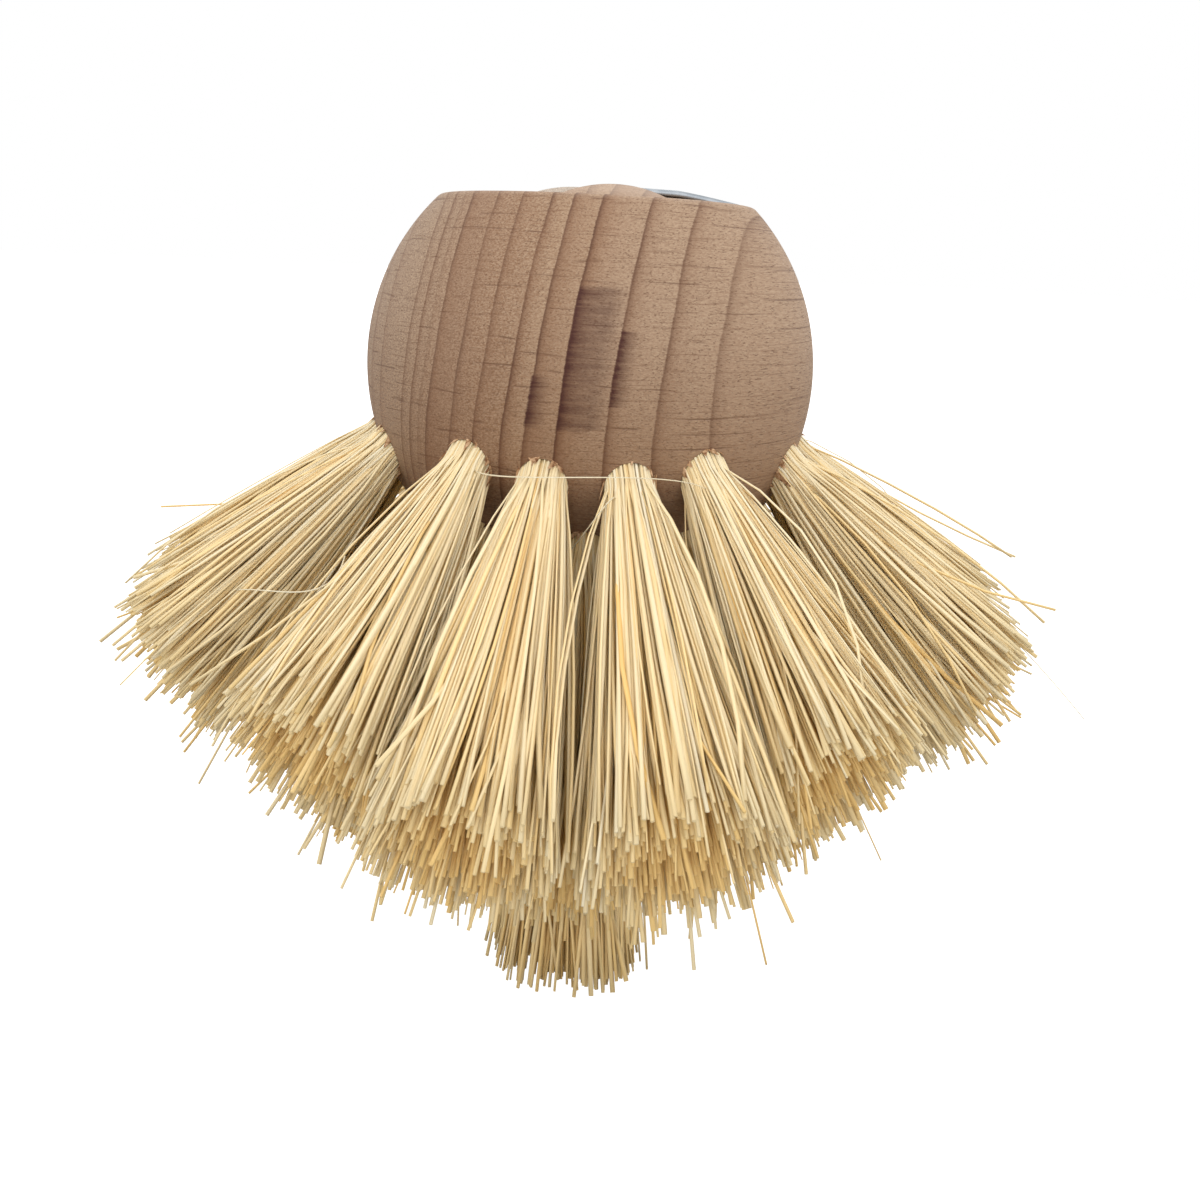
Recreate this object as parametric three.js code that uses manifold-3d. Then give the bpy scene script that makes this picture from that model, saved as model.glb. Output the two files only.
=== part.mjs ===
// Brush head: a turned beech ball with stapled fibre tufts and a spring clip for a handle's tongue.
// Millimetres, +Z up. The origin lies under the ball's axis, on the plane of the lowest fibre tips.
// The handle groove runs along X and is open at +X.
import * as THREE from 'three';
import { mergeVertices } from 'three/addons/utils/BufferGeometryUtils.js';
import Module from 'manifold-3d';

const wasm = await Module();
wasm.setup();

// Head block
const BALL_RADIUS = 22.5;
const TOP_HEIGHT = 16.5; // flat top above the ball's centre
const RIM_ROUND = 1.2;
const CROWN_RADIUS = 8;
const CROWN_RISE = 2.1;

// Handle groove, cut into the flat top from +X
const GROOVE_WIDTH = 9;
const GROOVE_DEPTH = 6.2;
const GROOVE_REACH = 9.2; // end wall, past the ball's axis

// Tuft holes and tufts
const HOLE_RADIUS = 2.3;
const HOLE_DEPTH = 6.2;
const TIP_RADIUS = 6.5;
const COLLAR = 1.6; // straight part of a tuft outside its hole
const TIP_ROUND = 0.6;
const RING_TURN = -25; // azimuth of the tufts' pattern, from -Y towards +X
const OUTER_AZIMUTHS = [10.5, 29.5, 66]; // in one quarter, mirrored both ways
const OUTER_POLARS = [69, 71.5, 70]; // hole mouths, measured round the ball from straight down
const OUTER_LENGTHS = [33.5, 29.5, 28.5]; // tuft lengths outside the ball
const SIDE_AZIMUTH = 90; // of the two outer tufts between the mirrored quarters
const SIDE_POLAR = 70;
const SIDE_LENGTH = 27.5;
const OUTER_LEAN = 46; // tuft axis, measured from straight down
const MIDDLE_COUNT = 11;
const MIDDLE_LENGTH = 28; // mean over the ring
const MIDDLE_EXTRA_LENGTH = 2.5; // front and back tufts are this much longer, side ones shorter
const MIDDLE_POLAR = 49.5;
const MIDDLE_LEAN = 28;
const INNER_COUNT = 3;
const INNER_LENGTH = 37.5;
const INNER_POLAR = 22;
const INNER_LEAN = 12.5;

// Wire staples, one across the fold of each tuft
const WIRE = 0.7;
const STAPLE_WIDTH = 3.8; // over the legs
const STAPLE_REACH = 2; // legs past the bottom of the hole
const FOLD = 0.95; // fibre below the crown of the staple
const POINT = 0.8; // chisel point of a leg

// Spring clip and its nails
const STRIP = 0.6;
const STRIP_PROUD = 1.3; // top face above the flat top
const TAIL_LENGTH = 3.8; // past the groove's end wall
const TAIL_DEPTH = 0.8; // tail's top face below the flat top
const RAMP_START = 5.5; // from the groove's end wall to the foot of the ramp
const RAMP_RUN = 4;
const LIP_RUN = 8;
const LIP_DROP = 1;
const LIP_INSET = 0.7; // lip's end inside the rim
const NAIL_RADIUS = 0.7;
const NAIL_HEAD_RADIUS = 1.5;
const NAIL_HEAD = 0.5;
const NAIL_LENGTH = 9;
const NAIL_POINT = 1.6;
const NAIL_INSET = 2.2; // nail line behind the groove's end wall
const NAIL_SPACING = 4.6;

const CLEAR = 0.25; // gap between pieces that fit in or rest on each other

const HEAD_SEGMENTS = 48;
const ARC_STEPS = 16;
const RIM_STEPS = 4;
const CROWN_STEPS = 5;
const HOLE_SEGMENTS = 12;
const TUFT_SEGMENTS = 12;

const beech = new THREE.MeshStandardMaterial({ color: 0xb08968, roughness: 0.7, metalness: 0 });
const fibre = new THREE.MeshStandardMaterial({ color: 0xe3cd95, roughness: 0.75, metalness: 0 });
const wire = new THREE.MeshStandardMaterial({ color: 0x9a9c9e, roughness: 0.35, metalness: 1 });
const springSteel = new THREE.MeshStandardMaterial({ color: 0x8f979c, roughness: 0.28, metalness: 1 });

const radians = THREE.MathUtils.degToRad;

// The inner tufts are cut level, so their length sets the height of the ball.
const ballZ = BALL_RADIUS * Math.cos(radians(INNER_POLAR)) + INNER_LENGTH * Math.cos(radians(INNER_LEAN));
const topZ = ballZ + TOP_HEIGHT;
const rimRadius = Math.sqrt(BALL_RADIUS ** 2 - TOP_HEIGHT ** 2);
const plugRadius = HOLE_RADIUS - CLEAR;

function solid(geometry) {
  const plain = geometry.index ? geometry.toNonIndexed() : geometry.clone();
  plain.deleteAttribute('normal');
  plain.deleteAttribute('uv');
  const merged = mergeVertices(plain, 1e-5);
  const mesh = new wasm.Mesh({
    numProp: 3,
    vertProperties: new Float32Array(merged.attributes.position.array),
    triVerts: new Uint32Array(merged.index.array),
  });
  return new wasm.Manifold(mesh);
}

function geometryOf(body) {
  const mesh = body.getMesh();
  const geometry = new THREE.BufferGeometry();
  geometry.setAttribute('position', new THREE.BufferAttribute(new Float32Array(mesh.vertProperties), 3));
  geometry.setIndex(new THREE.BufferAttribute(new Uint32Array(mesh.triVerts), 1));
  const flat = geometry.toNonIndexed();
  flat.computeVertexNormals();
  return flat;
}

function named(name, geometry, material) {
  const mesh = new THREE.Mesh(geometry, material);
  mesh.name = name;
  return mesh;
}

function box(low, high) {
  const size = high.map((value, axis) => value - low[axis]);
  const middle = high.map((value, axis) => (value + low[axis]) / 2);
  return new THREE.BoxGeometry(...size).translate(...middle);
}

// A lathe about Z from a profile of radius and height pairs.
function turned(profile, segments) {
  const points = profile.map(([radius, height]) => new THREE.Vector2(radius, height));
  return new THREE.LatheGeometry(points, segments).rotateX(Math.PI / 2);
}

function arc(radius, centre, from, to, steps) {
  return Array.from({ length: steps + 1 }, (_, step) => {
    const angle = from + ((to - from) * step) / steps;
    return [centre[0] + radius * Math.cos(angle), centre[1] + radius * Math.sin(angle)];
  });
}

// The frame of a tuft: Z along its axis and out of the ball, X in the upright plane through the ball's axis.
function tuftFrame(azimuth, polar, lean) {
  const turn = radians(RING_TURN + azimuth);
  const outward = new THREE.Vector3(Math.sin(turn), -Math.cos(turn), 0);
  const down = new THREE.Vector3(0, 0, -1);
  const along = (angle) =>
    outward.clone().multiplyScalar(Math.sin(angle)).addScaledVector(down, Math.cos(angle));
  const axis = along(radians(lean));
  const across = along(radians(lean + 90));
  const mouth = along(radians(polar)).multiplyScalar(BALL_RADIUS);
  const side = new THREE.Vector3().crossVectors(axis, across);
  mouth.z += ballZ;
  return new THREE.Matrix4().makeBasis(across, side, axis).setPosition(mouth);
}

// The outer ring: one quarter, the tuft at the side, the mirrored quarter, then the same again behind.
function outerRing() {
  const quarter = OUTER_AZIMUTHS.map((azimuth, index) => ({
    azimuth,
    polar: OUTER_POLARS[index],
    free: OUTER_LENGTHS[index],
  }));
  const side = { azimuth: SIDE_AZIMUTH, polar: SIDE_POLAR, free: SIDE_LENGTH };
  const mirrored = quarter.map((place) => ({ ...place, azimuth: 180 - place.azimuth })).reverse();
  const half = [...quarter, side, ...mirrored];
  return [...half, ...half.map((place) => ({ ...place, azimuth: 180 + place.azimuth }))];
}

function evenRing(count, polar, free, extra) {
  return Array.from({ length: count }, (_, index) => {
    const azimuth = (index * 360) / count;
    return { azimuth, polar, free: free + extra * Math.cos(2 * radians(azimuth)) };
  });
}

function ring(name, lean, places) {
  return places.map(({ azimuth, polar, free }, index) => ({
    name,
    number: String(index + 1).padStart(2, '0'),
    frame: tuftFrame(azimuth, polar, lean),
    free,
  }));
}

const middleRing = evenRing(MIDDLE_COUNT, MIDDLE_POLAR, MIDDLE_LENGTH, MIDDLE_EXTRA_LENGTH);
const innerRing = evenRing(INNER_COUNT, INNER_POLAR, INNER_LENGTH, 0);
const tufts = [
  ...ring('outer', OUTER_LEAN, outerRing()),
  ...ring('middle', MIDDLE_LEAN, middleRing),
  ...ring('inner', INNER_LEAN, innerRing),
];

// Heights in a tuft's frame, along its axis from the mouth of the hole
const plugBottom = CLEAR - HOLE_DEPTH;
const crownLow = plugBottom + FOLD + CLEAR;
const crownHigh = crownLow + WIRE;
const legEnd = -HOLE_DEPTH - STAPLE_REACH;
const halfStaple = STAPLE_WIDTH / 2;

// A bundle folded over its staple: a plug in the hole, a collar, then a flare to the cut tips.
function tuftGeometry({ frame, free, name }) {
  const trimmed = name === 'inner';
  const overrun = trimmed ? 2 * TIP_RADIUS * Math.tan(radians(INNER_LEAN)) : 0;
  const profile = [
    [0, plugBottom],
    [plugRadius - FOLD / 2, plugBottom],
    [plugRadius, plugBottom + FOLD / 2],
    [plugRadius, COLLAR],
    [TIP_RADIUS, free - TIP_ROUND],
    [TIP_RADIUS - (trimmed ? 0 : TIP_ROUND), free + overrun],
    [0, free + overrun],
  ];
  const halfSlot = WIRE / 2 + CLEAR;
  const wide = halfStaple + CLEAR;
  const narrow = halfStaple - WIRE - CLEAR;
  const deep = plugBottom - CLEAR;
  const tunnel = solid(box([-wide, -halfSlot, crownLow - CLEAR], [wide, halfSlot, crownHigh + CLEAR]));
  const channels = [-1, 1].map((sign) => {
    const sides = [sign * narrow, sign * wide].sort((a, b) => a - b);
    return solid(box([sides[0], -halfSlot, deep], [sides[1], halfSlot, crownHigh]));
  });
  const slot = tunnel.add(channels[0]).add(channels[1]);
  const bundle = geometryOf(solid(turned(profile, TUFT_SEGMENTS)).subtract(slot)).applyMatrix4(frame);
  if (!trimmed) {
    return bundle;
  }
  const reach = BALL_RADIUS + free;
  const below = box([-reach, -reach, -reach], [reach, reach, 0]);
  return geometryOf(solid(bundle).subtract(solid(below)));
}

// A square-wire staple with chisel points: its outline lies in the XZ plane of the tuft's frame.
function stapleGeometry({ frame }) {
  const inside = halfStaple - WIRE;
  const outline = new THREE.Shape([
    new THREE.Vector2(-halfStaple, legEnd + POINT),
    new THREE.Vector2(-inside, legEnd),
    new THREE.Vector2(-inside, crownLow),
    new THREE.Vector2(inside, crownLow),
    new THREE.Vector2(inside, legEnd),
    new THREE.Vector2(halfStaple, legEnd + POINT),
    new THREE.Vector2(halfStaple, crownHigh - WIRE / 2),
    new THREE.Vector2(inside, crownHigh),
    new THREE.Vector2(-inside, crownHigh),
    new THREE.Vector2(-halfStaple, crownHigh - WIRE / 2),
  ]);
  const bent = new THREE.ExtrudeGeometry(outline, { depth: WIRE, bevelEnabled: false });
  return bent.rotateX(Math.PI / 2).translate(0, WIRE / 2, 0).applyMatrix4(frame);
}

// What a tuft takes out of the head block: its blind hole and the two pilot slots of its staple.
function tuftCut({ frame }) {
  const outside = 2 * HOLE_RADIUS;
  const length = HOLE_DEPTH + outside;
  const hole = new THREE.CylinderGeometry(HOLE_RADIUS, HOLE_RADIUS, length, HOLE_SEGMENTS)
    .rotateX(Math.PI / 2)
    .translate(0, 0, length / 2 - HOLE_DEPTH)
    .applyMatrix4(frame);
  const halfSlot = WIRE / 2 + CLEAR;
  const pilots = [-1, 1].map((sign) => {
    const sides = [sign * (halfStaple - WIRE - CLEAR), sign * (halfStaple + CLEAR)].sort((a, b) => a - b);
    return box([sides[0], -halfSlot, legEnd - CLEAR], [sides[1], halfSlot, crownLow]).applyMatrix4(frame);
  });
  return solid(hole).add(solid(pilots[0])).add(solid(pilots[1]));
}

function headProfile() {
  const roundHeight = TOP_HEIGHT - RIM_ROUND;
  const roundRadius = Math.sqrt((BALL_RADIUS - RIM_ROUND) ** 2 - roundHeight ** 2);
  const tangent = Math.atan2(roundHeight, roundRadius);
  const crownArc = (CROWN_RADIUS ** 2 + CROWN_RISE ** 2) / (2 * CROWN_RISE);
  const crownAngle = Math.asin(CROWN_RADIUS / crownArc);
  const crownCentre = [0, TOP_HEIGHT + CROWN_RISE - crownArc];
  const profile = [
    ...arc(BALL_RADIUS, [0, 0], -Math.PI / 2, tangent, ARC_STEPS),
    ...arc(RIM_ROUND, [roundRadius, roundHeight], tangent, Math.PI / 2, RIM_STEPS).slice(1),
    ...arc(crownArc, crownCentre, Math.PI / 2 - crownAngle, Math.PI / 2, CROWN_STEPS),
  ];
  profile[0][0] = 0;
  profile[profile.length - 1][0] = 0;
  return profile;
}

// Places along X that the groove, the clip and the nails share
const endWall = -GROOVE_REACH;
const tailEnd = endWall - TAIL_LENGTH;
const nailLine = endWall - NAIL_INSET;
const lipEnd = rimRadius - LIP_INSET;
const tailTop = topZ - TAIL_DEPTH;
const ledgeZ = tailTop - STRIP - CLEAR;
const nailBottom = tailTop + CLEAR + NAIL_HEAD - NAIL_LENGTH;

function headGeometry() {
  const ball = turned(headProfile(), HEAD_SEGMENTS).translate(0, 0, ballZ);
  const half = GROOVE_WIDTH / 2;
  const above = topZ + BALL_RADIUS;
  const groove = box([endWall, -half, topZ - GROOVE_DEPTH], [2 * BALL_RADIUS, half, above]);
  const recess = box([tailEnd - CLEAR, -half, ledgeZ], [endWall + CLEAR, half, above]);
  const block = tufts.reduce((body, tuft) => body.subtract(tuftCut(tuft)), solid(ball));
  const nailHoles = [-1, 1].map((sign) => {
    const radius = NAIL_RADIUS + CLEAR;
    const low = nailBottom - CLEAR;
    return new THREE.CylinderGeometry(radius, radius, topZ - low, HOLE_SEGMENTS)
      .rotateX(Math.PI / 2)
      .translate(nailLine, (sign * NAIL_SPACING) / 2, (topZ + low) / 2);
  });
  const cuts = [groove, recess, ...nailHoles];
  return geometryOf(cuts.reduce((body, cut) => body.subtract(solid(cut)), block));
}

// The strip's top line from tail to lip, then its underside one thickness below, extruded across the groove.
function clipGeometry() {
  const proud = topZ + STRIP_PROUD;
  const rampFoot = endWall + RAMP_START;
  const line = [
    [tailEnd, tailTop],
    [rampFoot, tailTop],
    [rampFoot + RAMP_RUN, proud],
    [lipEnd - LIP_RUN, proud],
    [lipEnd, proud - LIP_DROP],
  ];
  const underside = line.map(([x, z]) => [x, z - STRIP]).reverse();
  const outline = new THREE.Shape([...line, ...underside].map(([x, z]) => new THREE.Vector2(x, z)));
  const width = GROOVE_WIDTH - 2 * CLEAR;
  const strip = new THREE.ExtrudeGeometry(outline, { depth: width, bevelEnabled: false })
    .rotateX(Math.PI / 2)
    .translate(0, width / 2, 0);
  const holes = [-1, 1].map((sign) => {
    const radius = NAIL_RADIUS + CLEAR;
    const through = 4 * STRIP;
    return new THREE.CylinderGeometry(radius, radius, through, HOLE_SEGMENTS)
      .rotateX(Math.PI / 2)
      .translate(nailLine, (sign * NAIL_SPACING) / 2, tailTop);
  });
  return geometryOf(solid(strip).subtract(solid(holes[0])).subtract(solid(holes[1])));
}

function nailGeometry(sign) {
  const headLow = tailTop + CLEAR;
  const profile = [
    [0, nailBottom],
    [NAIL_RADIUS, nailBottom + NAIL_POINT],
    [NAIL_RADIUS, headLow],
    [NAIL_HEAD_RADIUS, headLow],
    [NAIL_HEAD_RADIUS, headLow + NAIL_HEAD],
    [0, headLow + NAIL_HEAD],
  ];
  return turned(profile, TUFT_SEGMENTS).translate(nailLine, (sign * NAIL_SPACING) / 2, 0);
}

const brushHead = new THREE.Group();
brushHead.add(named('head_block', headGeometry(), beech));
brushHead.add(named('spring_clip', clipGeometry(), springSteel));
brushHead.add(named('clip_nail_left', nailGeometry(-1), wire));
brushHead.add(named('clip_nail_right', nailGeometry(1), wire));
for (const tuft of tufts) {
  brushHead.add(named(`${tuft.name}_tuft_${tuft.number}`, tuftGeometry(tuft), fibre));
  brushHead.add(named(`${tuft.name}_staple_${tuft.number}`, stapleGeometry(tuft), wire));
}

export default brushHead;
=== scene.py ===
"""Looks of a round scrub brush head: a turned beech ball, tufts of loose plant fibre, a spring clip.

Lengths are millimetres in the part's own frame until a mesh is filled, which is in metres.
"""
import math

import bpy
import numpy as np
from mathutils import Matrix, Vector


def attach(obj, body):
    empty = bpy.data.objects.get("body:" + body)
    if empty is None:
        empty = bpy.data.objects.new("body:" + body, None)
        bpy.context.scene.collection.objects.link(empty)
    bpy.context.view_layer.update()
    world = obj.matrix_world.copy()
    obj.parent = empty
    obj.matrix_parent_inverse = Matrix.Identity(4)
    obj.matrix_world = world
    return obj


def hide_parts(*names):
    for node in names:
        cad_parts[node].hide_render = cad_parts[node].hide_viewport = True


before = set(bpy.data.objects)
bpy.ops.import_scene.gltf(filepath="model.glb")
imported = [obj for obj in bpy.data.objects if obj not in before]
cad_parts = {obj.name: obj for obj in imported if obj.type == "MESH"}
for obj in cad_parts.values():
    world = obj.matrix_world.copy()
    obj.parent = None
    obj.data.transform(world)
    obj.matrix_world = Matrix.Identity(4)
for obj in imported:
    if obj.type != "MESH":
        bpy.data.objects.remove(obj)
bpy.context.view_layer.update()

MM = 0.001

# Ball, groove and clip, as in the part
BALL_RADIUS = 22.5
TOP_HEIGHT = 16.5
RIM_ROUND = 1.2
CROWN_RADIUS = 8.0
CROWN_RISE = 2.1
GROOVE_WIDTH = 9.0
GROOVE_DEPTH = 6.2
GROOVE_REACH = 9.2
CLEAR = 0.25
STRIP = 0.6
STRIP_PROUD = 1.3
TAIL_LENGTH = 3.8
TAIL_DEPTH = 0.8
RAMP_START = 5.5
RAMP_RUN = 4.0
LIP_RUN = 8.0
LIP_DROP = 1.0
LIP_INSET = 0.7
LIP_BEND = 1.2  # power of the lip's curve
CORNER = 1.2
EDGE_ROUND = 0.4
NAIL_RADIUS = 0.7
NAIL_HEAD_RADIUS = 1.5
NAIL_HEAD = 0.5
NAIL_LENGTH = 9.0
NAIL_POINT = 1.6
NAIL_RIM = 0.15  # straight part of the head's side
NAIL_TIP = 0.02
NAIL_INSET = 2.2
NAIL_SPACING = 4.6

# Tuft holes and the three rings of tufts, as in the part
HOLE_RADIUS = 2.3
HOLE_DEPTH = 6.2
TIP_RADIUS = 6.5
RING_TURN = -25.0
# One quarter of the outer ring: azimuth, polar angle of the mouth, length outside the ball
OUTER_QUARTER = ((10.5, 69, 33.5), (29.5, 71.5, 29.5), (66, 70, 28.5), (90, 70, 27.5))
OUTER_LEAN = 46
MIDDLE_COUNT, MIDDLE_LENGTH, MIDDLE_EXTRA_LENGTH = 11, 28.0, 2.5
MIDDLE_POLAR, MIDDLE_LEAN = 49.5, 28
INNER_COUNT, INNER_LENGTH = 3, 37.5
INNER_POLAR, INNER_LEAN = 22, 12.5
WIRE = 0.7
FOLD = 0.95

BALL_Z = (BALL_RADIUS * math.cos(math.radians(INNER_POLAR))
          + INNER_LENGTH * math.cos(math.radians(INNER_LEAN)))
TOP_Z = BALL_Z + TOP_HEIGHT
RIM_RADIUS = math.sqrt(BALL_RADIUS ** 2 - TOP_HEIGHT ** 2)
END_WALL = -GROOVE_REACH
TAIL_END = END_WALL - TAIL_LENGTH
NAIL_LINE = END_WALL - NAIL_INSET
LIP_END = RIM_RADIUS - LIP_INSET
TAIL_TOP = TOP_Z - TAIL_DEPTH
BALL = np.array([0.0, 0.0, BALL_Z])

# Camera, set round the ball's centre
VIEW_AZIMUTH = -25.0
VIEW_HEIGHT = 5.43  # degrees above the ball's centre
VIEW_DISTANCE = 120.5
VIEW_ROLL = 2.7
AIM_BELOW = 24.5
AIM_RIGHT = 2.08
LENS, SENSOR = 34.5, 36


def place_camera():
    """The camera stands on a circle round the ball, aims below it, and rolls about its line of sight."""
    azimuth, height, roll = (math.radians(v) for v in (VIEW_AZIMUTH, VIEW_HEIGHT, VIEW_ROLL))
    level = Vector((math.sin(azimuth), -math.cos(azimuth), 0))
    right = Vector((math.cos(azimuth), math.sin(azimuth), 0))
    middle = Vector(BALL)
    place = middle + VIEW_DISTANCE * (math.cos(height) * level + Vector((0, 0, math.sin(height))))
    ahead = (middle + AIM_RIGHT * right - Vector((0, 0, AIM_BELOW)) - place).normalized()
    right = ahead.cross(Vector((0, 0, 1))).normalized()
    up = right.cross(ahead)
    right, up = math.cos(roll) * right + math.sin(roll) * up, math.cos(roll) * up - math.sin(roll) * right
    camera = bpy.data.objects.new("camera", bpy.data.cameras.new("camera"))
    camera.data.lens = LENS
    camera.data.sensor_width = SENSOR
    camera.data.clip_start = 0.01
    turn = Matrix((right, up, -ahead)).transposed().to_4x4()
    camera.matrix_world = Matrix.Translation(place * MM) @ turn
    bpy.context.scene.collection.objects.link(camera)
    bpy.context.scene.camera = camera


# Meshes


def fill(name, points, faces, finish, smooth=True):
    """An object from points in millimetres and a list of face arrays, each with one corner count."""
    mesh = bpy.data.meshes.new(name)
    corners = np.concatenate([f.ravel() for f in faces])
    counts = np.concatenate([np.full(len(f), f.shape[1]) for f in faces])
    mesh.vertices.add(len(points))
    mesh.vertices.foreach_set("co", (points * MM).astype(np.float32).ravel())
    mesh.loops.add(len(corners))
    mesh.loops.foreach_set("vertex_index", corners.astype(np.int32))
    mesh.polygons.add(len(counts))
    mesh.polygons.foreach_set("loop_start", (np.cumsum(counts) - counts).astype(np.int32))
    mesh.polygons.foreach_set("use_smooth", np.full(len(counts), smooth))
    mesh.update(calc_edges=True)
    mesh.materials.append(finish)
    piece = bpy.data.objects.new(name, mesh)
    bpy.context.scene.collection.objects.link(piece)
    return piece


def wrap(rows, columns):
    """Four-sided faces of a grid whose columns close on themselves, as point numbers."""
    row, column = np.meshgrid(np.arange(rows - 1), np.arange(columns), indexing="ij")
    ahead = (column + 1) % columns
    corners = [row * columns + column, row * columns + ahead,
               (row + 1) * columns + ahead, (row + 1) * columns + column]
    return np.stack(corners, -1).reshape(-1, 4)


def turned(profile, segments):
    """A profile of radius and height, from low to high, spun round Z, with a flat fan at each end."""
    profile = np.asarray(profile, float)
    angle = np.arange(segments) * 2 * np.pi / segments
    radius = profile[:, :1]
    points = np.stack([radius * np.cos(angle), radius * np.sin(angle),
                       np.repeat(profile[:, 1:], segments, 1)], -1).reshape(-1, 3)
    low = np.arange(segments)[::-1][None]
    high = (len(profile) - 1) * segments + np.arange(segments)[None]
    return points, [wrap(len(profile), segments), low, high]


def box(low, high):
    """The eight corners of a box and its six faces."""
    low, high = np.array(low, float), np.array(high, float)
    bits = np.array([[x, y, z] for x in (0, 1) for y in (0, 1) for z in (0, 1)])
    faces = np.array([[0, 1, 3, 2], [4, 6, 7, 5], [0, 4, 5, 1], [2, 3, 7, 6], [0, 2, 6, 4], [1, 5, 7, 3]])
    return low + bits * (high - low), [faces]


def together(parts):
    """Several meshes as one: points in a row, and face numbers moved up to match."""
    starts = np.cumsum([0] + [len(points) for points, _ in parts])
    faces = {}
    for (_, groups), start in zip(parts, starts):
        for group in groups:
            faces.setdefault(group.shape[1], []).append(group + start)
    return np.concatenate([points for points, _ in parts]), [np.concatenate(f) for f in faces.values()]


def carved(piece, cutters):
    """The piece with each cutter taken out of it, as plain mesh with sharp edges kept sharp."""
    for points, faces in cutters:
        tool = fill("cutter", points, faces, piece.data.materials[0], smooth=False)
        cut = piece.modifiers.new("cut", "BOOLEAN")
        cut.operation = "DIFFERENCE"
        cut.solver = "EXACT"
        cut.object = tool
        shape = piece.evaluated_get(bpy.context.evaluated_depsgraph_get())
        mesh = bpy.data.meshes.new_from_object(shape)
        piece.modifiers.clear()
        piece.data = mesh
        bpy.data.objects.remove(tool)
    piece.data.polygons.foreach_set("use_smooth", np.ones(len(piece.data.polygons), bool))
    piece.data.set_sharp_from_angle(angle=math.radians(35))
    return piece


def arc(radius, centre, start, end, steps):
    angle = np.linspace(start, end, steps + 1)
    return np.stack([centre[0] + radius * np.cos(angle), centre[1] + radius * np.sin(angle)], -1)


# Shader sockets that can be written as sums


class Wire:
    """A number socket: sums, products and powers of it add Math nodes to its material."""

    def __init__(self, finish, socket):
        self.finish, self.socket = finish, socket

    def math(self, operation, *others, clamp=False):
        return self.finish.math(operation, self, *others, clamp=clamp)

    def __add__(self, other):
        return self.math("ADD", other)

    def __sub__(self, other):
        return self.math("SUBTRACT", other)

    def __rsub__(self, other):
        return self.finish.math("SUBTRACT", other, self)

    def __mul__(self, other):
        return self.math("MULTIPLY", other)

    def __pow__(self, other):
        return self.math("POWER", other)

    __radd__ = __add__
    __rmul__ = __mul__

    def most(self, other):
        return self.math("MAXIMUM", other)

    def clamped(self):
        return self.math("ADD", 0.0, clamp=True)

    def between(self, low, high):
        """0 below low, 1 above high, straight between them."""
        return ((self - low) * (1 / (high - low))).clamped()

    def fading(self, length):
        """1 up to zero, then an exponential fall over the length."""
        return (self * (-1 / length)).math("EXPONENT").math("MINIMUM", 1.0)


class Finish:
    """A material with one Principled shader, whose nodes come from the node method."""

    def __init__(self, name, **constants):
        self.material = bpy.data.materials.new(name)
        self.material.use_nodes = True
        self.tree = self.material.node_tree
        self.shader = self.tree.nodes["Principled BSDF"]
        self.feed(self.shader, {k.replace("_", " "): v for k, v in constants.items()})

    def feed(self, node, sockets):
        for key, value in sockets.items():
            socket = node.inputs[key]
            if isinstance(value, Wire):
                value = value.socket
            if isinstance(value, bpy.types.NodeSocket):
                self.tree.links.new(value, socket)
            else:
                socket.default_value = value

    def node(self, kind, settings=None, sockets=None):
        node = self.tree.nodes.new(kind)
        for key, value in (settings or {}).items():
            setattr(node, key, value)
        self.feed(node, sockets or {})
        return node

    def math(self, operation, *values, clamp=False):
        settings = {"operation": operation, "use_clamp": clamp}
        node = self.node("ShaderNodeMath", settings, dict(enumerate(values)))
        return Wire(self, node.outputs[0])

    def vector(self, operation, *values, scale=1.0):
        """A Vector Math node: its vector, or its number where it gives one."""
        sockets = dict(enumerate(values))
        node = self.node("ShaderNodeVectorMath", {"operation": operation}, sockets)
        if operation == "SCALE":
            node.inputs["Scale"].default_value = scale
        if operation == "DOT_PRODUCT":
            return Wire(self, node.outputs["Value"])
        return node.outputs["Vector"]

    def joined(self, x, y, z):
        return self.node("ShaderNodeCombineXYZ", None, {"X": x, "Y": y, "Z": z}).outputs[0]

    def noise(self, place, scale=1.0, detail=2.0, roughness=0.5):
        sockets = {"Vector": place, "Scale": scale, "Detail": detail, "Roughness": roughness}
        return Wire(self, self.node("ShaderNodeTexNoise", None, sockets).outputs["Fac"])

    def stripes(self, count, width):
        """A thin line at the middle of each whole step of the count, with a half width in steps."""
        return (1 - (count.math("FRACT") - 0.5).math("ABSOLUTE") * (1 / width)).clamped()

    def ramp(self, factor, stops):
        node = self.node("ShaderNodeValToRGB", None, {"Fac": factor})
        elements = node.color_ramp.elements
        while len(elements) < len(stops):
            elements.new(1.0)
        for element, (position, colour) in zip(elements, stops):
            element.position = position
            element.color = (*colour, 1.0)
        return node.outputs["Color"]

    def mixed(self, factor, low, high, blend="MIX"):
        settings = {"data_type": "RGBA", "blend_type": blend, "clamp_factor": True}
        node = self.node("ShaderNodeMix", settings, {"Factor": factor})
        colours = {6: low, 7: high}
        for key, value in colours.items():
            if isinstance(value, tuple):
                value = (*value, 1.0)
            self.feed(node, {key: value})
        return node.outputs[2]

    def place(self):
        """Object coordinates in millimetres."""
        return self.vector("SCALE", self.node("ShaderNodeTexCoord").outputs["Object"], scale=1 / MM)

    def relief(self, height, depth):
        """A bump of the given depth in millimetres into the shader's Normal."""
        sockets = {"Height": height, "Distance": depth * MM, "Strength": 1.0}
        self.feed(self.shader, {"Normal": self.node("ShaderNodeBump", None, sockets).outputs["Normal"]})


# Finishes

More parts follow.
